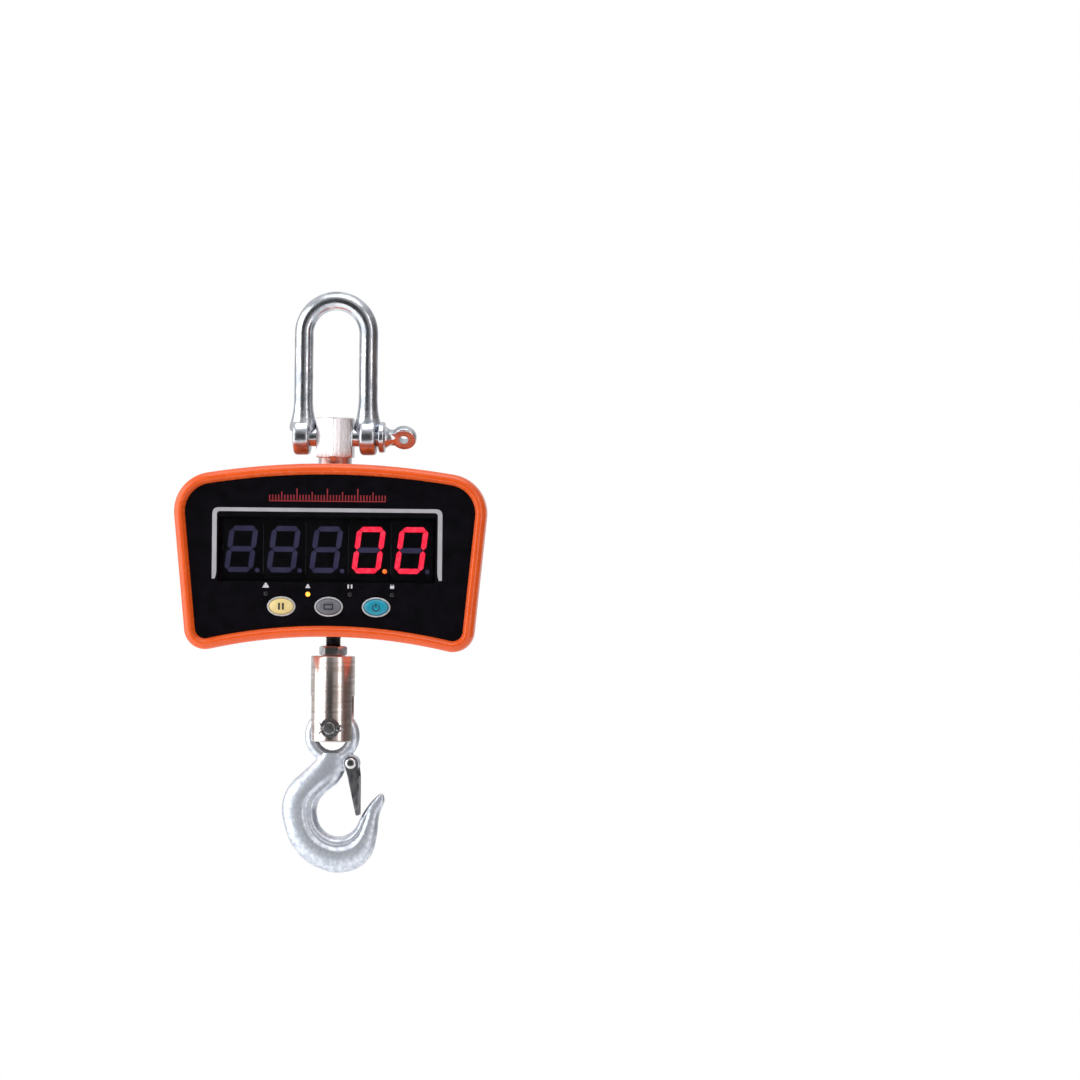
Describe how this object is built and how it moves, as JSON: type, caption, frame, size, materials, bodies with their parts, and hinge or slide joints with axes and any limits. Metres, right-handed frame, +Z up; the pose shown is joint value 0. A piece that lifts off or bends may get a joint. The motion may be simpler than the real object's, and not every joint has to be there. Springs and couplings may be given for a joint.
{
  "type": "crane scale",
  "caption": "Hanging crane scale: screw-pin shackle, arched housing with a red LED display and three oval keys, swivel barrel, and an eye hook with a sprung latch.",
  "frame": {"origin": "inner crown of the shackle's bow, where the scale hangs", "axes": "+Z up along the load line, -Y out of the display, +X to the right as the display is read"},
  "size_m": [0.2054, 0.062, 0.3832],
  "materials": {
    "zinc_forging": "bright zinc plate on forged steel",
    "zinc_fittings": "zinc-plated turned steel",
    "machined_steel": "milled steel, nickel plated",
    "barrel_chrome": "polished nickel on turned steel",
    "pin_steel": "bare turned steel, lightly oiled",
    "black_steel": "black oxide on steel",
    "latch_steel": "pressed steel sheet, blackened",
    "orange_housing": "moulded ABS, semi-gloss",
    "seal_rubber": "moulded rubber",
    "panel_black": "printed black acrylic, glossy",
    "window_tint": "tinted acrylic",
    "digit_body": "dark moulded LED module",
    "led_amber": "amber epoxy lens",
    "circuit_green": "solder-masked glass-epoxy board",
    "black_plastic": "moulded black plastic",
    "trim_silver": "silver-grey moulded trim",
    "key_yellow": "moulded cream-yellow key",
    "key_grey": "moulded grey key",
    "key_teal": "moulded teal key",
    "cell_aluminium": "machined aluminium",
    "gauge_foil": "copper-nickel foil on film",
    "cell_wrap": "shrink film over the battery cells",
    "brass_parts": "turned brass",
    "plate_grey": "blank anodised plate"
  },
  "bodies": {
    "shackle": {"shackle_bow": "zinc_forging"},
    "screw_pin": {"shackle_pin": "zinc_fittings"},
    "scale": {"hanger_block": "machined_steel", "stem_nut": "zinc_fittings", "top_grommet": "seal_rubber", "load_cell": "cell_aluminium", "strain_gauges": "gauge_foil", "gauge_covers": "cell_aluminium", "load_cell_cable": "black_plastic", "front_housing": "orange_housing", "rear_housing": "orange_housing", "housing_seal": "seal_rubber", "housing_screws": "zinc_fittings", "front_panel": "panel_black", "display_window": "window_tint", "digit_1": "digit_body", "digit_2": "digit_body", "digit_3": "digit_body", "digit_4": "digit_body", "digit_5": "digit_body", "display_board": "circuit_green", "board_screws": "zinc_fittings", "indicator_leds": "led_amber", "key_rings": "trim_silver", "key_switches": "black_plastic", "main_board": "circuit_green", "standoffs": "brass_parts", "buzzer": "black_plastic", "battery_tray": "black_plastic", "battery_cells": "cell_wrap", "battery_contacts": "brass_parts", "door_seal": "seal_rubber", "charging_socket": "black_plastic", "rating_plate": "plate_grey", "bottom_grommet": "seal_rubber", "lower_stud": "black_steel", "jam_nut": "zinc_fittings", "race_lower": "machined_steel", "bearing_balls": "machined_steel", "swivel_nut": "zinc_fittings"},
    "hold_key": {"key_hold": "key_yellow"},
    "zero_key": {"key_zero": "key_grey"},
    "power_key": {"key_power": "key_teal"},
    "door": {"battery_door": "orange_housing"},
    "swivel": {"swivel_barrel": "barrel_chrome", "race_upper": "machined_steel", "cross_pin": "pin_steel", "pin_washer": "pin_steel", "split_pin": "pin_steel"},
    "hook": {"hook": "zinc_forging", "latch_rivet": "zinc_fittings"},
    "latch": {"latch": "latch_steel", "latch_spring": "pin_steel"}
  },
  "joints": [
    {"name": "screw_pin_draw", "type": "slide", "parent": "shackle", "child": "screw_pin", "axis": [1, 0, 0], "range_m": [0, 0.06]},
    {"name": "scale_swing", "type": "hinge", "parent": "shackle", "child": "scale", "pos_m": [0, 0, -0.0835], "axis": [1, 0, 0], "range_deg": [-85, 85]},
    {"name": "hold_key_press", "type": "slide", "parent": "scale", "child": "hold_key", "axis": [0, 1, 0], "range_m": [0, 0.0008], "stiffness_N_per_m": 900, "springref_m": -0.0006},
    {"name": "zero_key_press", "type": "slide", "parent": "scale", "child": "zero_key", "axis": [0, 1, 0], "range_m": [0, 0.0008], "stiffness_N_per_m": 900, "springref_m": -0.0006},
    {"name": "power_key_press", "type": "slide", "parent": "scale", "child": "power_key", "axis": [0, 1, 0], "range_m": [0, 0.0008], "stiffness_N_per_m": 900, "springref_m": -0.0006},
    {"name": "battery_door_pull", "type": "slide", "parent": "scale", "child": "door", "axis": [0, 1, 0], "range_m": [0, 0.03]},
    {"name": "hook_swivel", "type": "hinge", "parent": "scale", "child": "swivel", "pos_m": [0, 0, -0.2279], "axis": [0, 0, 1], "continuous": true},
    {"name": "hook_swing", "type": "hinge", "parent": "swivel", "child": "hook", "pos_m": [0, 0, -0.2749], "axis": [0, 1, 0], "range_deg": [-60, 60]},
    {"name": "latch_open", "type": "hinge", "parent": "hook", "child": "latch", "pos_m": [0.013, 0, -0.29835], "axis": [0, 1, 0], "range_deg": [0, 28], "stiffness_Nm_per_rad": 0.03, "springref_deg": -28.65}
  ]
}
